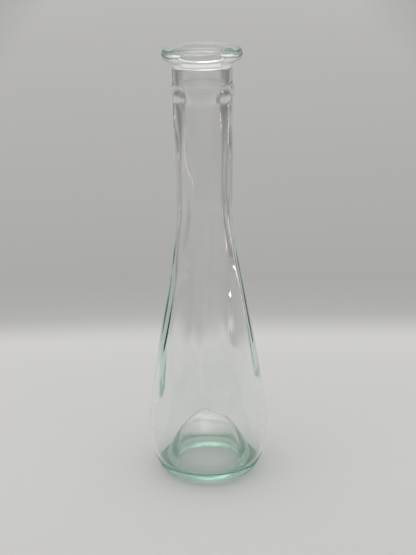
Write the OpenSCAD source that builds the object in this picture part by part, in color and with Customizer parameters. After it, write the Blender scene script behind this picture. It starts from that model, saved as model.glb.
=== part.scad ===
// Glass bud vase, stood on a table and seen as a bottle maker draws it: a turned profile.
// The origin is on the axis at the table, +Z runs up the neck, and all sizes are in millimetres.
// The glass is one wall from foot to lip. It is cut at the maker's own partings into a lip that is
// laid round the top of a straight throat, a neck ring, a neck, a body, a heel and a punt. They meet
// face to face.

/* [Overall] */
// Height from the table to the top of the lip
height = 250; // [225:1:320]

/* [Base] */
// Outer diameter of the flat ring that the vase stands on
foot_d = 46.5; // [40:0.5:56]
// Width of that flat ring
foot_w = 2.5; // [1:0.25:4]
// Height of the hollow pushed up under the base
punt_h = 31.5; // [12:0.5:38]
// Glass at the top of the punt
punt_t = 4; // [3:0.25:12]
// Glass under the lowest part of the inside floor
floor_t = 7.5; // [4:0.25:12]

/* [Body] */
// Outer diameter at the widest part
body_d = 69.8; // [58:0.1:90]
// Height of the widest part above the table
belly_z = 31; // [26:0.5:45]
// Wall at the widest part
body_wall = 2.6; // [2:0.1:5]
// Length over which the side turns in above the widest part
belly_reach = 14; // [5:0.5:40]

/* [Neck] */
// Outer diameter at the narrowest part of the neck
waist_d = 31.4; // [26:0.1:38]
// Height of the narrowest part above the table
waist_z = 162; // [130:1:195]
// Wall at the narrowest part
waist_wall = 4; // [2.5:0.1:5]
// Length over which the side turns upright below the narrowest part
waist_reach = 21; // [5:0.5:60]

/* [Finish] */
// Diameter of the straight bore in the throat
mouth_d = 26; // [20:0.1:28]
// Wall of the throat, and so of the neck where it meets the neck ring
throat_wall = 3.6; // [3:0.1:6]
// Radius of the bore's edge at the mouth
mouth_round = 1.2; // [0.4:0.1:2]
// Height of the throat that shows between the neck ring and the lip
throat_h = 9.5; // [6:0.5:16]
// How far the neck ring stands out from the throat
ring_rise = 0.85; // [0.3:0.05:4]
// Height of the neck ring
ring_h = 11.5; // [6:0.5:14]
// How far the lip stands out from the throat
lip_rise = 5.4; // [4:0.1:9]
// Height of the lip, from its underside at the throat to its crest
lip_h = 10; // [7:0.5:14]
// Thickness of the lip's rounded edge
lip_edge = 6.2; // [4:0.1:6.6]
// Distance from the lip's outermost circle in to its crest
lip_round = 2; // [1:0.1:3]

/* [Hidden] */
$fn = 180;

GLASS = [0.72, 0.88, 0.83, 0.45];
STEPS = 24;             // straight pieces in each curve of the profile
LIP_TURN = -50;         // angle at which the lip's edge takes over from its underside
LIP_TUCK = 0.6;         // how far the lip's underside dips before it meets the edge
BORE_TAPER = 0.25;      // the bore is this much narrower where the neck meets the neck ring
RING_FAT = 0.74;        // share of the neck ring's height at which it is fattest
TROUGH_PLACE = 0.55;    // place of the floor's trough, as a share of the way out to the wall
BELL_MOUTH = [0.95, 0.35];  // pull of the punt's hollow at the foot: shares of its radius and height
BELL_CROWN = 0.8;       // pull of the hollow and of the dome over it at their tops: share of that radius
DOME_FOOT = 0.85;       // pull of the inside dome at the trough: share of the trough's radius
SEAM_GAP = 0.1;         // profile points nearer than this to the punt's seam are left to the seam

foot_r = foot_d / 2;
punt_r = foot_r - foot_w;           // where the punt's hollow opens in the foot
body_r = body_d / 2;
waist_r = waist_d / 2;
mouth_r = mouth_d / 2;
throat_r = mouth_r + throat_wall;
ring_r = throat_r + ring_rise;
lip_r = throat_r + lip_rise;

lip_z = height - lip_h;             // underside of the lip
throat_z = lip_z - throat_h;        // top of the neck ring
ring_z = throat_z - ring_h;         // top of the neck

belly_in_r = body_r - body_wall;    // inside of the wall at the belly
trough_r = punt_r + (belly_in_r - punt_r) * TROUGH_PLACE;   // lowest ring of the inside floor
waist_in_r = waist_r - waist_wall;
ring_in_r = mouth_r - BORE_TAPER;   // the bore opens slightly from the neck up to the throat
neck_reach = (ring_z - waist_z) / 3;
crest_r = lip_r - lip_round;        // highest circle of the lip
fat_z = ring_z + RING_FAT * ring_h; // the neck ring is fattest above its middle

// A point on the cubic curve with these four control points
function curve_at(c, t) =
    pow(1 - t, 3) * c[0] + 3 * pow(1 - t, 2) * t * c[1] + 3 * (1 - t) * t * t * c[2] + pow(t, 3) * c[3];
function curve(c, steps = STEPS) = [for (i = [0:steps]) curve_at(c, i / steps)];
// An arc of an ellipse about a centre, from one angle to another
function arc(centre, rx, rz, from, to, steps = STEPS) =
    [for (i = [0:steps]) let (a = from + (to - from) * i / steps) centre + [rx * cos(a), rz * sin(a)]];
// The same points in the opposite order
function back(points) = [for (i = [len(points) - 1:-1:0]) points[i]];
// The same points without the first one
function rest(points) = [for (i = [1:len(points) - 1]) points[i]];

// Outside of the glass, from the foot up
HEEL_OUT = arc([foot_r, belly_z], body_r - foot_r, belly_z, -90, 0);
BODY_OUT = curve([[body_r, belly_z], [body_r, belly_z + belly_reach],
                  [waist_r, waist_z - waist_reach], [waist_r, waist_z]], 2 * STEPS);
NECK_OUT = curve([[waist_r, waist_z], [waist_r, waist_z + neck_reach],
                  [throat_r, ring_z - neck_reach], [throat_r, ring_z]]);
RING_OUT = concat(
    curve([[throat_r, ring_z], [throat_r, (ring_z + fat_z) / 2], [ring_r, (ring_z + fat_z) / 2],
           [ring_r, fat_z]], STEPS / 2),
    rest(arc([throat_r, fat_z], ring_r - throat_r, throat_z - fat_z, 0, 90, STEPS / 2)));
LIP_EDGE = arc([crest_r, height - lip_edge / 2], lip_round, lip_edge / 2, LIP_TURN, 90);
LIP_OUT = concat(
    curve([[throat_r, lip_z], [throat_r, (lip_z + LIP_EDGE[0][1]) / 2],
           [crest_r, LIP_EDGE[0][1] - LIP_TUCK], LIP_EDGE[0]], STEPS / 2),
    rest(LIP_EDGE));

// Inside of the glass, from the floor up
HEEL_IN = arc([trough_r, belly_z], belly_in_r - trough_r, belly_z - floor_t, -90, 0);
BODY_IN = curve([[belly_in_r, belly_z], [belly_in_r, belly_z + belly_reach],
                 [waist_in_r, waist_z - waist_reach], [waist_in_r, waist_z]], 2 * STEPS);
NECK_IN = curve([[waist_in_r, waist_z], [waist_in_r, waist_z + neck_reach],
                 [ring_in_r, ring_z - neck_reach], [ring_in_r, ring_z]]);
THROAT_IN = concat([[mouth_r, throat_z]],
    arc([mouth_r + mouth_round, height - mouth_round], mouth_round, mouth_round, 180, 90, STEPS / 2));

// The punt's two skins, from the foot to the axis. The upper one starts in the floor's trough.
PUNT_UNDER = curve([[punt_r, 0], [BELL_MOUTH[0] * punt_r, BELL_MOUTH[1] * punt_h],
                    [BELL_CROWN * punt_r, punt_h], [0, punt_h]], 2 * STEPS);
PUNT_OVER = curve([[trough_r, floor_t], [DOME_FOOT * trough_r, floor_t],
                   [BELL_CROWN * punt_r, punt_h + punt_t], [0, punt_h + punt_t]], 2 * STEPS);
// The upper skin is shared: the heel has the part outside the foot's hollow, the punt the rest
PUNT_CAP = [for (p = PUNT_OVER) if (p[0] < punt_r - SEAM_GAP) p];
TROUGH = [for (p = PUNT_OVER) if (p[0] > punt_r + SEAM_GAP) p];
seam_z = lookup(punt_r, back(PUNT_OVER));   // height of the inside floor where the two meet

module turned(outline) {
    color(GLASS) rotate_extrude() polygon(outline);
}

// Fire-polished ring of glass laid round the top of the throat
module lip() {
    turned(concat(LIP_OUT, [[throat_r, height]]));
}

// Straight tube from the neck ring up to the mouth, with the true bore
module throat() {
    turned(concat(THROAT_IN, [[throat_r, height], [throat_r, throat_z]]));
}

// Low bead where the neck ends
module neck_ring() {
    turned(concat(RING_OUT, [[mouth_r, throat_z], [ring_in_r, ring_z]]));
}

module neck() {
    turned(concat(NECK_OUT, back(NECK_IN)));
}

module body() {
    turned(concat(BODY_OUT, back(BODY_IN)));
}

// Rounded heel with the flat standing ring and the inside trough
module heel() {
    turned(concat([[punt_r, 0]], HEEL_OUT, back(HEEL_IN), rest(TROUGH), [[punt_r, seam_z]]));
}

// Bell of glass pushed up in the middle of the base
module punt() {
    turned(concat(PUNT_UNDER, back(PUNT_CAP), [[punt_r, seam_z]]));
}

lip();
throat();
neck_ring();
neck();
body();
heel();
punt();
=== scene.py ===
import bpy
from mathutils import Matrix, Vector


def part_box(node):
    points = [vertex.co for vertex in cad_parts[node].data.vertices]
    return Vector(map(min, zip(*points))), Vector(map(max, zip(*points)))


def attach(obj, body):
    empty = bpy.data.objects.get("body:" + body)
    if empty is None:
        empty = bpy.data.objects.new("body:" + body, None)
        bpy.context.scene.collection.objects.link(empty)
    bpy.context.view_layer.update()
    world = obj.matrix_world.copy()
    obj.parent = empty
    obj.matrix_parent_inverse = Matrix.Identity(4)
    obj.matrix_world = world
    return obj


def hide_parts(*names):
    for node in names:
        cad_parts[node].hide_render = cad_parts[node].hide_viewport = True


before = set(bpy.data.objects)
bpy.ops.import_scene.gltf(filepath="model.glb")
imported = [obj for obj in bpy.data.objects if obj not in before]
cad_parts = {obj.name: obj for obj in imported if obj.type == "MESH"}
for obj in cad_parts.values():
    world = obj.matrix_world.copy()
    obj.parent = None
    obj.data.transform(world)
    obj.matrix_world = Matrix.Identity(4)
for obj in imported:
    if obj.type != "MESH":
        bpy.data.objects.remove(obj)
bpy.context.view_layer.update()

import math
import random

import bmesh
import bpy
import numpy as np
from mathutils import Vector

MM = 0.001
# The punt sits inside the heel, and the others are stacked on it from the table up
NODES = ("punt", "heel", "body", "neck", "neck_ring", "throat", "lip")

# ---------------------------------------------------------------- the turned profile
TOUCH = 0.02 * MM       # two cut points nearer than this are one
SHORTEST = TOUCH / 10   # cut edges shorter than this are left out
FINE = 0.1 * MM         # spacing of the profile while it is smoothed
SOFTEN = 0.6 * MM       # fire polish: spread of the bell curve that rounds the corners
BELL_REACH = 4          # that curve is cut off this many spreads out
ROW = 1.2 * MM          # longest step between rows of the skin
TURN = math.radians(7)  # most that the profile may turn between rows
COLUMNS = 240           # points round the axis

# Level joints: their heights
LEVEL_SEAMS = [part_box(name)[1].z for name in ("heel", "body", "neck", "neck_ring")]
# Upright joints: their radius and the height where they start
UPRIGHT_SEAMS = [(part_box("punt")[1].x, 0), (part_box("throat")[1].x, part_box("lip")[0].z)]
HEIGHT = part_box("lip")[1].z


def off_joints(a, b):
    """The part of a cut edge that lies on no joint between two nodes: its two ends, or None."""
    if any(abs(a.z - z) < TOUCH and abs(b.z - z) < TOUCH for z in LEVEL_SEAMS):
        return None
    for radius, start in UPRIGHT_SEAMS:
        if abs(a.x - radius) < TOUCH and abs(b.x - radius) < TOUCH:
            if min(a.z, b.z) > start - TOUCH:
                return None
            a, b = (Vector((end.x, end.y, min(end.z, start))) for end in (a, b))
    return a, b


def skin_cut():
    """All nodes cut by the plane y = 0, on the +X side, without their joints: one line of edges
    that each know their node."""
    line = bmesh.new()
    owner = line.edges.layers.int.new("owner")
    for index, name in enumerate(NODES):
        solid = bmesh.new()
        solid.from_mesh(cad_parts[name].data)
        everything = solid.verts[:] + solid.edges[:] + solid.faces[:]
        cut = bmesh.ops.bisect_plane(solid, geom=everything, plane_co=(0, 0, 0), plane_no=(0, 1, 0))
        for edge in cut["geom_cut"]:
            if not isinstance(edge, bmesh.types.BMEdge):
                continue
            a, b = (vert.co for vert in edge.verts)
            kept = off_joints(a, b) if a.x + b.x > TOUCH and (a - b).length > SHORTEST else None
            if kept:
                line.edges.new([line.verts.new(end) for end in kept])[owner] = index
        solid.free()
    bmesh.ops.remove_doubles(line, verts=line.verts, dist=TOUCH)
    return line, owner


def profile_spans():
    """The whole skin as (node, points) spans, from the top of the punt out over the floor, up the
    inside, over the lip, down the outside and under the base to the axis again."""
    line, owner = skin_cut()
    on_axis = [vert for vert in line.verts if abs(vert.co.x) < TOUCH]
    here = max(on_axis, key=lambda vert: vert.co.z)
    edge = here.link_edges[0]
    spans = []
    while edge is not None:
        name = NODES[edge[owner]]
        if not spans or spans[-1][0] != name:
            spans.append((name, [(here.co.x, here.co.z)]))
        here = edge.other_vert(here)
        spans[-1][1].append((here.co.x, here.co.z))
        onward = [other for other in here.link_edges if other is not edge]
        edge = onward[0] if onward else None
    line.free()
    return spans


def evenly(points, step):
    """The same line with points at an even step, both ends kept."""
    points = np.array(points)
    along = np.concatenate([[0], np.cumsum(np.linalg.norm(np.diff(points, axis=0), axis=1))])
    at = np.linspace(0, along[-1], max(2, round(along[-1] / step) + 1))
    return np.stack([np.interp(at, along, points[:, k]) for k in (0, 1)], axis=1)


def polished(points):
    """The profile with its corners rounded. It is mirrored across the axis first, so both ends stay
    level there."""
    reach = round(BELL_REACH * SOFTEN / FINE)
    mirror = np.array([-1, 1])
    wide = np.concatenate([points[reach:0:-1] * mirror, points, points[-2:-reach - 2:-1] * mirror])
    offsets = np.arange(-reach, reach + 1) * FINE
    weights = np.exp(-0.5 * (offsets / SOFTEN) ** 2)
    weights /= weights.sum()
    return np.stack([np.convolve(wide[:, k], weights, "valid") for k in (0, 1)], axis=1)


def profile_rows():
    """The profile's rows: their points, their outward directions, and each span's node and rows."""
    fine, ends, names = [], [0], []
    for name, points in profile_spans():
        piece = evenly(points, FINE)
        fine.append(piece if not fine else piece[1:])
        ends.append(ends[-1] + len(piece) - 1)
        names.append(name)
    fine = polished(np.concatenate(fine))
    along = np.gradient(fine, axis=0)
    heading = np.unwrap(np.arctan2(along[:, 1], along[:, 0]))
    density = np.linalg.norm(along, axis=1) / ROW + np.abs(np.gradient(heading)) / TURN
    count = np.cumsum(density)
    rows, spans = [0], []
    for name, first, last in zip(names, ends, ends[1:]):
        steps = max(2, math.ceil(count[last] - count[first]))
        wanted = np.linspace(count[first], count[last], steps + 1)[1:]
        start = len(rows) - 1
        rows += [int(i) for i in np.searchsorted(count, wanted[:-1])] + [last]
        spans.append((name, start, len(rows) - 1))
    outward = np.stack([-np.sin(heading), np.cos(heading)], axis=1)[rows]
    return fine[rows], outward, spans


# ---------------------------------------------------------------- what blowing does to the wall
SEED = 11
WAVES = 26              # slow waves added together for each skin


def slow_waves(seed, orders, tall):
    """Smooth random waves over (angle, height), about 1 high. orders is the range of waves round the
    vase, and tall is the shortest wave up it."""
    chance = random.Random(seed)
    turn = 2 * math.pi
    waves = [(chance.randint(*orders), turn / tall * chance.uniform(-1, 1), chance.uniform(0, turn))
             for _ in range(WAVES)]

    def height(angle, z):
        total = sum(np.cos(order * angle + pitch * z + phase) for order, pitch, phase in waves)
        return total / math.sqrt(WAVES / 2)
    return height


def fade(value, start, end):
    """0 at start and 1 at end, smoothly."""
    t = np.clip((value - start) / (end - start), 0, 1)
    return t * t * (3 - 2 * t)


OUTER_WAVE = 0.10 * MM
INNER_WAVE = 0.30 * MM
WAVES_START = (38 * MM, 62 * MM)    # the base is pressed true, and the waves grow above it
# The waves lose this share at the top, between these shares of the height: the finish is truer
CALMED = 0.75
CALM_START, CALM_FULL = 0.86, 0.93
outer_waves = slow_waves(SEED, (1, 5), 60 * MM)
inner_waves = slow_waves(SEED + 1, (2, 9), 70 * MM)

# Thick places inside the wall: angle in degrees, height, half-width in degrees, half-height, swell
THICK = (
    (180, 100 * MM, 9, 45 * MM, 1.0 * MM),
    (-4, 112 * MM, 8, 30 * MM, 0.8 * MM),
    (230, 128 * MM, 6, 4 * MM, 0.9 * MM),
    (276, 63 * MM, 2, 1.3 * MM, 0.4 * MM),
    (308, 92 * MM, 6, 6 * MM, 0.7 * MM),
)


def swell(points, inside, angle):
    """How far each point of the skin stands out of the plain profile, along its outward direction."""
    z = points[:, 1:]
    wall = fade(z, *WAVES_START)
    quiet = 1 - CALMED * fade(z, CALM_START * HEIGHT, CALM_FULL * HEIGHT)
    outer = OUTER_WAVE * outer_waves(angle, z)
    inner = INNER_WAVE * inner_waves(angle, z)
    for turn, height, width, tall, amount in THICK:
        off = (angle - math.radians(turn) + math.pi) % (2 * math.pi) - math.pi
        inner = inner + amount * np.exp(-(off / math.radians(width)) ** 2 - ((z - height) / tall) ** 2)
    return wall * quiet * np.where(inside[:, None], inner, outer)


def blown_skin():
    """The whole skin as a grid of points with their normals, and each span's node and rows."""
    points, outward, spans = profile_rows()
    crest = int(np.argmax(points[:, 1]))
    inside = np.arange(len(points)) < crest
    angle = np.arange(COLUMNS)[None, :] * 2 * math.pi / COLUMNS
    out = swell(points, inside, angle)
    radius = points[:, :1] + out * outward[:, :1]
    z = points[:, 1:] + out * outward[:, 1:]
    radius[0], radius[-1] = 0, 0
    grid = np.stack([radius * np.cos(angle), radius * np.sin(angle), z + 0 * angle], axis=2)
    up = np.gradient(grid, axis=0)
    wrapped = np.concatenate([grid[:, -1:], grid, grid[:, :1]], axis=1)
    across = np.gradient(wrapped, axis=1)[:, 1:-1]
    normals = np.cross(up, across)
    normals[0], normals[-1] = (0, 0, 1), (0, 0, -1)
    normals /= np.linalg.norm(normals, axis=2, keepdims=True)
    return grid, normals, spans


# ---------------------------------------------------------------- pieces
def piece_mesh(name, grid, normals, rows):
    """One closed solid: the node's own spans of skin, joined by flat faces where it meets the next
    zone of glass. The joint faces take the second material."""
    verts, loops, loop_normals, sizes, joints = [], [], [], [], []
    places = []
    total = 0
    for first, last in rows:
        span = []
        for row in range(first, last + 1):
            ring = 1 if row in (0, len(grid) - 1) else COLUMNS
            verts.append(grid[row, :ring])
            span.append((row, total, ring))
            total += ring
        places.append(span)

    def band(low, high, joint):
        """The faces between two rings, with the skin's own normals or, on a joint, flat ones."""
        (row_a, at_a, ring_a), (row_b, at_b, ring_b) = low, high
        here = np.arange(COLUMNS)
        there = (here + 1) % COLUMNS
        corners = [(row_a, at_a, ring_a, here), (row_b, at_b, ring_b, here),
                   (row_b, at_b, ring_b, there), (row_a, at_a, ring_a, there)]
        if ring_a == 1:
            corners.pop(3)
        if ring_b == 1:
            corners.pop(2)
        index = np.stack([at + (column if ring > 1 else 0 * column) for _, at, ring, column in corners],
                         axis=1)
        if joint:
            a, b, c = (grid[row][column] for row, _, _, column in corners[:3])
            flat = np.cross(b - a, c - b)
            flat /= np.linalg.norm(flat, axis=1, keepdims=True)
            shade = np.repeat(flat[:, None], len(corners), axis=1)
        else:
            shade = np.stack([normals[row][column] for row, _, _, column in corners], axis=1)
        loops.append(index.reshape(-1))
        loop_normals.append(shade.reshape(-1, 3))
        sizes.append(np.full(COLUMNS, len(corners)))
        joints.append(np.full(COLUMNS, int(joint)))

    for span in places:
        for low, high in zip(span, span[1:]):
            band(low, high, False)
    for span, following in zip(places, places[1:] + places[:1]):
        if span[-1][2] > 1:
            band(span[-1], following[0], True)

    verts, loops, sizes = np.concatenate(verts), np.concatenate(loops), np.concatenate(sizes)
    mesh = bpy.data.meshes.new(name)
    mesh.vertices.add(len(verts))
    mesh.vertices.foreach_set("co", verts.astype(np.float32).reshape(-1))
    mesh.loops.add(len(loops))
    mesh.loops.foreach_set("vertex_index", loops.astype(np.int32))
    mesh.polygons.add(len(sizes))
    mesh.polygons.foreach_set("loop_start", (np.cumsum(sizes) - sizes).astype(np.int32))
    mesh.polygons.foreach_set("material_index", np.concatenate(joints).astype(np.int32))
    mesh.update(calc_edges=True)
    mesh.normals_split_custom_set(np.concatenate(loop_normals).tolist())
    return mesh


def make_vase(glass, joint):
    grid, normals, spans = blown_skin()
    for name in NODES:
        rows = [(first, last) for node, first, last in spans if node == name]
        piece = bpy.data.objects.new("glass_" + name, piece_mesh("glass_" + name, grid, normals, rows))
        bpy.context.scene.collection.objects.link(piece)
        piece.data.materials.append(glass)
        piece.data.materials.append(joint)
        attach(piece, "root")
        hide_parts(name)


# ---------------------------------------------------------------- materials
IOR = 1.52
FRONT_TINT = (0.996, 0.993, 0.994, 1.0)     # at each front face
LAMP_TINT = (0.86, 0.89, 0.875, 1.0)        # at each face, for light on its way from a lamp
PASSED_OVER = 10 * MM
PASSED = (0.944, 0.978, 0.964)              # light left after that much glass, in red, green, blue
# The green gathers low down: height and strength of the colour where it is palest and deepest
PALE_ABOVE, PALE_STRENGTH = 150 * MM, 0.5
DEEP_BELOW, DEEP_STRENGTH = 30 * MM, 1.4
# The heel takes more on top of that, and greyer: partly the green of its thick glass, partly painted
# shade, a grey darkening that stands in for the dim surroundings the heel mirrors. Heights where this is
# full and where it ends
HEEL_GREEN_AND_SHADE = (0.924, 0.955, 0.942)
HEEL_STRENGTH = 8.0
HEEL_FULL, HEEL_END = 5 * MM, 11 * MM
# Glass near the axis, in the dome and the neck, is paler: radii where that is full and where it ends
CORE_FULL, CORE_END = 19 * MM, 25 * MM
CORE_STRENGTH = 0.4         # share of the colour that it keeps
DOME_ROUGH = 0.12           # within the same radii the dome is slightly cloudy
DOME_OVER = 10 * MM         # height over the dome in which the cloud fades
# Dimples of the tool in the middle of the dome: strength there and elsewhere, and the radii between
PRESSED, UNPRESSED = 0.9, 0.04
PRESSED_FULL, PRESSED_END = 5 * MM, 11 * MM
DIMPLE_DEPTH = 0.4 * MM
DIMPLES = {"Scale": 160, "Detail": 4, "Roughness": 0.5}
# Faint smears: their noise, the part of its range in which they grow, and how rough they get
SMEARS = {"Scale": 45, "Detail": 3, "Roughness": 0.6}
SMEAR_FROM, SMEAR_TO = 0.55, 0.8
SMEAR_ROUGH = 0.03


class Nodes:
    """A short way to add and link nodes in one node tree."""

    def __init__(self, tree):
        self.tree = tree
        tree.nodes.clear()

    @staticmethod
    def socket(sockets, key):
        """A socket by its place, its name or, where names repeat, its identifier."""
        return next((one for one in sockets if one.identifier == key), None) or sockets[key]

    def add(self, kind, values=(), links=(), **settings):
        node = self.tree.nodes.new("ShaderNode" + kind)
        for key, value in settings.items():
            setattr(node, key, value)
        for key, value in dict(values).items():
            self.socket(node.inputs, key).default_value = value
        for key, source in dict(links).items():
            self.tree.links.new(source, self.socket(node.inputs, key))
        return node

    def number(self, operation, *terms):
        """The result of one operation on numbers. Each term is a plain number or a socket."""
        plain = {place: term for place, term in enumerate(terms) if isinstance(term, (int, float))}
        linked = {place: term for place, term in enumerate(terms) if place not in plain}
        return self.add("Math", plain, linked, operation=operation).outputs[0]

    def slide(self, value, start, end, low, high, kind="LINEAR"):
        """A number that goes from low to high while the value goes from start to end."""
        stops = {"From Min": start, "From Max": end, "To Min": low, "To Max": high}
        return self.add("MapRange", stops, {"Value": value}, interpolation_type=kind).outputs[0]


def new_material(name):
    material = bpy.data.materials.new(name)
    material.use_nodes = True
    return material, Nodes(material.node_tree)


def light_left(nodes, passed, depth):
    """The light left after this many times PASSED_OVER of glass that passes this much over one."""
    left = [nodes.number("POWER", share, depth) for share in passed]
    return nodes.add("CombineXYZ", {}, dict(enumerate(left))).outputs[0]


def glass_tint(nodes, height, radius):
    """The colour of a face. Back faces are met from inside, so they hold the loss over the last
    stretch, for mirrored and passed light."""
    length = nodes.add("LightPath").outputs["Ray Length"]
    paler = nodes.slide(radius, CORE_FULL, CORE_END, CORE_STRENGTH, 1.0, "SMOOTHSTEP")
    stretch = nodes.number("MULTIPLY", length, paler)
    wall = nodes.slide(height, DEEP_BELOW, PALE_ABOVE,
                       DEEP_STRENGTH / PASSED_OVER, PALE_STRENGTH / PASSED_OVER)
    # In the heel the loss is partly painted shade: extra grey darkening for the dim surroundings it
    # mirrors
    heel = nodes.slide(height, HEEL_FULL, HEEL_END, HEEL_STRENGTH / PASSED_OVER, 0.0)
    losses = [light_left(nodes, passed, nodes.number("MULTIPLY", stretch, gathered))
              for passed, gathered in ((PASSED, wall), (HEEL_GREEN_AND_SHADE, heel))]
    loss = nodes.add("VectorMath", {}, dict(enumerate(losses)), operation="MULTIPLY")
    back = nodes.add("NewGeometry").outputs["Backfacing"]
    tint = nodes.add("Mix", {"A_Color": FRONT_TINT}, {"Factor_Float": back, "B_Color": loss.outputs[0]},
                     data_type="RGBA")
    return nodes.socket(tint.outputs, "Result_Color")


def glass_roughness(nodes, place, height, radius):
    """Clear but for faint smears and the cloudy dome."""
    noise = nodes.add("TexNoise", SMEARS, {"Vector": place})
    smear = nodes.slide(noise.outputs[0], SMEAR_FROM, SMEAR_TO, 0.0, SMEAR_ROUGH)
    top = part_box("punt")[1].z
    near = nodes.slide(radius, CORE_FULL, CORE_END, DOME_ROUGH, 0.0, "SMOOTHSTEP")
    low = nodes.slide(height, top, top + DOME_OVER, 1.0, 0.0)
    return nodes.number("ADD", smear, nodes.number("MULTIPLY", near, low))


def dimples(nodes, place, radius):
    """The skin's direction, bent by the dimples."""
    noise = nodes.add("TexNoise", DIMPLES, {"Vector": place})
    pressed = nodes.slide(radius, PRESSED_FULL, PRESSED_END, PRESSED, UNPRESSED, "SMOOTHSTEP")
    bump = nodes.add("Bump", {"Distance": DIMPLE_DEPTH}, {"Height": noise.outputs[0], "Strength": pressed})
    return bump.outputs[0]


def green_glass():
    """Clear glass that takes its green from the length that light travels inside it. Light on its way
    from a lamp goes straight through with a fixed tint."""
    material, nodes = new_material("green_glass")
    spot = nodes.add("NewGeometry").outputs["Position"]
    height = nodes.add("SeparateXYZ", {}, {0: spot}).outputs["Z"]
    level = nodes.add("VectorMath", {1: (1, 1, 0)}, {0: spot}, operation="MULTIPLY")
    radius = nodes.add("VectorMath", {}, {0: level.outputs[0]}, operation="LENGTH").outputs["Value"]
    place = nodes.add("TexCoord").outputs["Object"]
    glass = nodes.add("BsdfGlass", {"IOR": IOR},
                      {"Color": glass_tint(nodes, height, radius),
                       "Roughness": glass_roughness(nodes, place, height, radius),
                       "Normal": dimples(nodes, place, radius)})
    clear = nodes.add("BsdfTransparent", {"Color": LAMP_TINT})
    shadow = nodes.add("LightPath").outputs["Is Shadow Ray"]
    both = nodes.add("MixShader", {}, {0: shadow, 1: glass.outputs[0], 2: clear.outputs[0]})
    nodes.add("OutputMaterial", {}, {"Surface": both.outputs[0]})
    return material


def joint_glass():
    """Where two zones of the same glass meet there is nothing to see, so light goes straight on."""
    material, nodes = new_material("joint_glass")
    clear = nodes.add("BsdfTransparent", {"Color": (1, 1, 1, 1)})
    nodes.add("OutputMaterial", {}, {"Surface": clear.outputs[0]})
    return material


# ---------------------------------------------------------------- floor, light and camera
FLOOR_REACH = 40.0
FLOOR_DROP = 0.1 * MM       # the floor lies a hair under the standing ring
PALE_COLOUR = (0.60, 0.595, 0.585)
SWEEP_CENTRE = (0, -1.815, 0)   # the pale ground is a wide disc round this point
SWEEP_RADIUS = 2.0
# Colour of the ground, with painted shade of a backdrop: a faint lighter rim at the disc's edge, a darker
# band past it where a floor would turn up into a wall, and lighter again beyond. Distance past the disc's
# edge, share of the pale colour
GROUND_PAINTED_SHADE = ((-0.30, 0.925), (-0.20, 0.955), (-0.10, 0.958), (-0.02, 0.975), (0.018, 1.01), (0.032, 0.96),
          (0.046, 0.84), (0.067, 0.715), (0.090, 0.672), (0.15, 0.63), (0.37, 0.685), (0.87, 0.775),
          (1.77, 0.90), (4.0, 0.90))

# The ground is painted dimmer beside and in front of the vase: painted shade that stands in for a darker
# room there, and draws the glass's dark edges.
# Distance from the vase along X, either way, and along -Y, each with the share of the brightness
SIDE_SHADE = ((0.30, 1.0), (0.50, 0.72), (0.80, 0.40), (1.4, 0.55), (3.0, 0.98))
FORE_SHADE = ((0.20, 1.0), (0.60, 0.45), (1.2, 0.55), (3.0, 0.98))
# The ground's faint unevenness: its noise, and the brightness at the ends of the noise's range
GRAIN = {"Scale": 3.0, "Detail": 2}
GRAIN_LOW, GRAIN_HIGH = 0.985, 1.015
GROUND_ROUGH = 0.9


def blend(nodes, value, stops):
    """A brightness that follows a value through (value, brightness) stops."""
    first, last = stops[0][0], stops[-1][0]
    ramp = nodes.add("ValToRGB", {}, {"Fac": nodes.slide(value, first, last, 0.0, 1.0)})
    marks = ramp.color_ramp.elements
    for _ in stops[2:]:     # two marks are there already
        marks.new(1)
    for mark, (at, brightness) in zip(marks, stops):
        mark.position = (at - first) / (last - first)
        mark.color = (brightness, brightness, brightness, 1)
    return ramp.outputs[0]


def ground():
    material, nodes = new_material("ground")
    place = nodes.add("NewGeometry").outputs["Position"]
    centre = nodes.add("VectorMath", {1: SWEEP_CENTRE}, {0: place}, operation="DISTANCE")
    past = nodes.number("SUBTRACT", centre.outputs["Value"], SWEEP_RADIUS)
    axes = nodes.add("SeparateXYZ", {}, {0: place})
    aside = nodes.number("ABSOLUTE", axes.outputs["X"])
    fore = nodes.number("MULTIPLY", axes.outputs["Y"], -1.0)
    noise = nodes.add("TexNoise", GRAIN, {"Vector": place})
    grain = nodes.slide(noise.outputs[0], 0.0, 1.0, GRAIN_LOW, GRAIN_HIGH)
    colour = nodes.add("VectorMath", {0: PALE_COLOUR}, {1: grain}, operation="MULTIPLY")
    # Painted shade on the ground: the backdrop's bands, then the dimmer ground beside and in front of the
    # vase
    for value, stops in ((past, GROUND_PAINTED_SHADE), (aside, SIDE_SHADE), (fore, FORE_SHADE)):
        shade = blend(nodes, value, stops)
        colour = nodes.add("VectorMath", {}, {0: colour.outputs[0], 1: shade}, operation="MULTIPLY")
    paint = nodes.add("BsdfPrincipled", {"Roughness": GROUND_ROUGH}, {"Base Color": colour.outputs[0]})
    nodes.add("OutputMaterial", {}, {"Surface": paint.outputs[0]})
    return material


def make_floor():
    mesh = bpy.data.meshes.new("ground")
    corners = ((-1, -1), (1, -1), (1, 1), (-1, 1))
    mesh.from_pydata([(x * FLOOR_REACH, y * FLOOR_REACH, -FLOOR_DROP) for x, y in corners],
                     [], [(0, 1, 2, 3)])
    floor = bpy.data.objects.new("ground", mesh)
    bpy.context.scene.collection.objects.link(floor)
    floor.data.materials.append(ground())


SKY_LOW = (0.46, 0.455, 0.45, 1)    # at the horizon and below
SKY_HIGH = (0.95, 0.95, 0.94, 1)    # overhead
SKY_HIGH_FROM = 0.8                 # sine of the height angle above which it is all SKY_HIGH


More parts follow.
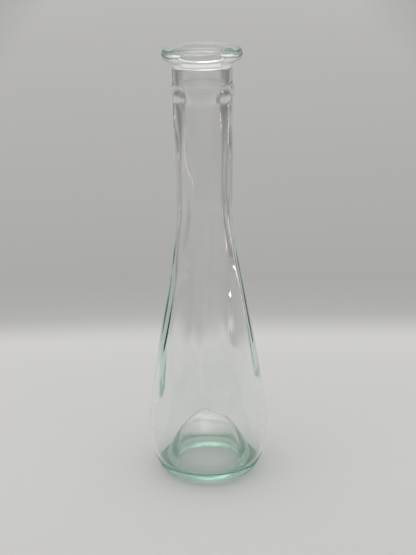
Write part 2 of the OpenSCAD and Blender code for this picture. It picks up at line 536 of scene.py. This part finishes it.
def make_world():
    """Soft light from all round, brighter overhead."""
    world = bpy.data.worlds.new("studio")
    bpy.context.scene.world = world
    world.use_nodes = True
    nodes = Nodes(world.node_tree)
    toward = nodes.add("TexCoord")
    axes = nodes.add("SeparateXYZ", {}, {0: toward.outputs["Generated"]})
    ramp = nodes.add("ValToRGB", {}, {"Fac": axes.outputs["Z"]})
    low, high = ramp.color_ramp.elements
    low.position, low.color = 0.0, SKY_LOW
    high.position, high.color = SKY_HIGH_FROM, SKY_HIGH
    sky = nodes.add("Background", {"Strength": 1.0}, {"Color": ramp.outputs[0]})
    nodes.add("OutputWorld", {}, {"Surface": sky.outputs[0]})


# Lights: name, place, what they point at, size, power and colour
SOFTBOX = ("softbox", (-0.3, -0.2, 1.6), (0, 0, 0.1), 1.2, 6, (1, 1, 1))
# Small lamps that only show as glints: the camera doesn't see the lamps themselves
SMALL_LIGHTS = (
    ("lamp_right", (0.58, 0.20, 0.05), (0, 0, 0.14), 0.05, 0.035, (1.0, 0.82, 0.64)),
    ("lamp_left", (-0.58, -0.12, 0.10), (0, 0, 0.14), 0.04, 0.004, (1.0, 1.0, 1.0)),
)


def area_light(name, place, target, size, power, colour):
    lamp = bpy.data.lights.new(name, "AREA")
    lamp.shape = "DISK"
    lamp.size = size
    lamp.energy = power
    lamp.color = colour
    holder = bpy.data.objects.new(name, lamp)
    holder.location = place
    holder.rotation_euler = (Vector(target) - Vector(place)).to_track_quat("-Z", "Y").to_euler()
    bpy.context.scene.collection.objects.link(holder)
    return holder


# The camera was fitted to the photo: its place, its tilt down and roll, and its lens and sensor in
# millimetres
CAMERA_AT = (0.00124, -0.73835, 0.3762)
CAMERA_DOWN = math.radians(19.23)
CAMERA_ROLL = math.radians(-0.96)
CAMERA_LENS = 59.2
SENSOR = 24.0
NEAREST, FARTHEST = 0.01, 200


def make_camera():
    data = bpy.data.cameras.new("camera")
    data.sensor_fit = "VERTICAL"
    data.sensor_height = SENSOR
    data.lens = CAMERA_LENS
    data.clip_start, data.clip_end = NEAREST, FARTHEST
    camera = bpy.data.objects.new("camera", data)
    camera.location = CAMERA_AT
    camera.rotation_euler = (math.pi / 2 - CAMERA_DOWN, 0, 0)
    camera.rotation_euler.rotate_axis("Z", CAMERA_ROLL)
    bpy.context.scene.collection.objects.link(camera)
    bpy.context.scene.camera = camera


# Light crosses many faces of the vase, so it is followed for a long way
BOUNCES = 128
CLEAR_BOUNCES = 512


def make_studio():
    make_camera()
    make_floor()
    make_world()
    area_light(*SOFTBOX)
    for lamp in SMALL_LIGHTS:
        area_light(*lamp).visible_camera = False
    scene = bpy.context.scene
    scene.view_settings.view_transform = "Standard"
    scene.cycles.max_bounces = BOUNCES
    scene.cycles.glossy_bounces = BOUNCES
    scene.cycles.transmission_bounces = BOUNCES
    scene.cycles.transparent_max_bounces = CLEAR_BOUNCES


make_vase(green_glass(), joint_glass())
make_studio()
